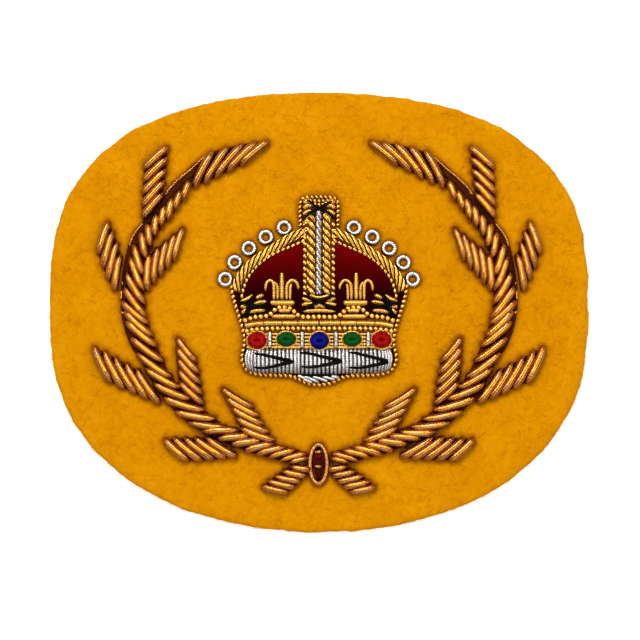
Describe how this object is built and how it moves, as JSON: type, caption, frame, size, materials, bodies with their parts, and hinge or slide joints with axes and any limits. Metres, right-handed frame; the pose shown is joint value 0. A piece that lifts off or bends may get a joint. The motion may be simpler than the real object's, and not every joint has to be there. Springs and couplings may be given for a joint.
{
  "type": "embroidered rank badge",
  "caption": "Rank badge: a crown inside an open laurel wreath, worked in gold and silver bullion wire on a patch of felt with rounded corners.",
  "frame": {"origin": "middle of the felt patch's underside", "axes": "+Z out of the badge's face, +Y towards the top of the crown, +X to the right as the badge is read"},
  "size_m": [0.084, 0.0686, 0.0055],
  "materials": {
    "felt": "mustard wool felt, short nap",
    "old_gold": "bronze-gold coiled wire",
    "bright_gold": "bright gold coiled wire",
    "silver": "silver coiled wire",
    "velvet": "crimson velvet over padding",
    "maroon_thread": "maroon padding thread",
    "red_silk": "glossy silk thread",
    "green_silk": "glossy silk thread",
    "blue_silk": "glossy silk thread"
  },
  "bodies": {
    "root": {"felt_patch": "felt", "velvet_pad": "velvet", "stem_left": "old_gold", "stem_cord_left": "maroon_thread", "leaf_top_left": "old_gold", "leaf_upper_outer_left": "old_gold", "leaf_middle_outer_left": "old_gold", "leaf_middle_inner_left": "old_gold", "leaf_lower_outer_left": "old_gold", "leaf_lower_inner_left": "old_gold", "leaf_foot_outer_left": "old_gold", "leaf_foot_inner_left": "old_gold", "leaf_stalk_end_left": "old_gold", "stem_right": "old_gold", "stem_cord_right": "maroon_thread", "leaf_top_right": "old_gold", "leaf_upper_outer_right": "old_gold", "leaf_middle_outer_right": "old_gold", "leaf_middle_inner_right": "old_gold", "leaf_lower_outer_right": "old_gold", "leaf_lower_inner_right": "old_gold", "leaf_foot_outer_right": "old_gold", "leaf_foot_inner_right": "old_gold", "leaf_stalk_end_right": "old_gold", "tie_loop": "old_gold", "tie_padding": "maroon_thread", "outline_purl": "bright_gold", "block_purl": "bright_gold", "arch_left": "bright_gold", "arch_right": "bright_gold", "pillar_left": "bright_gold", "pillar_right": "bright_gold", "silver_cord": "silver", "top_cross": "bright_gold", "cross_centre": "bright_gold", "cross_left": "bright_gold", "cross_right": "bright_gold", "fleur_left": "bright_gold", "fleur_right": "bright_gold", "band_upper_purl": "bright_gold", "band_bar": "bright_gold", "band_lower_purl": "bright_gold", "jewel_bed": "bright_gold", "jewel_red_left": "red_silk", "jewel_green_left": "green_silk", "jewel_blue": "blue_silk", "jewel_green_right": "green_silk", "jewel_red_right": "red_silk", "ermine_band": "silver", "ermine_drop": "silver", "ring_01": "silver", "ring_02": "silver", "ring_03": "silver", "ring_04": "silver", "ring_05": "silver", "ring_06": "silver", "ring_07": "silver", "ring_08": "silver", "ring_09": "silver", "ring_10": "silver"}
  },
  "joints": []
}
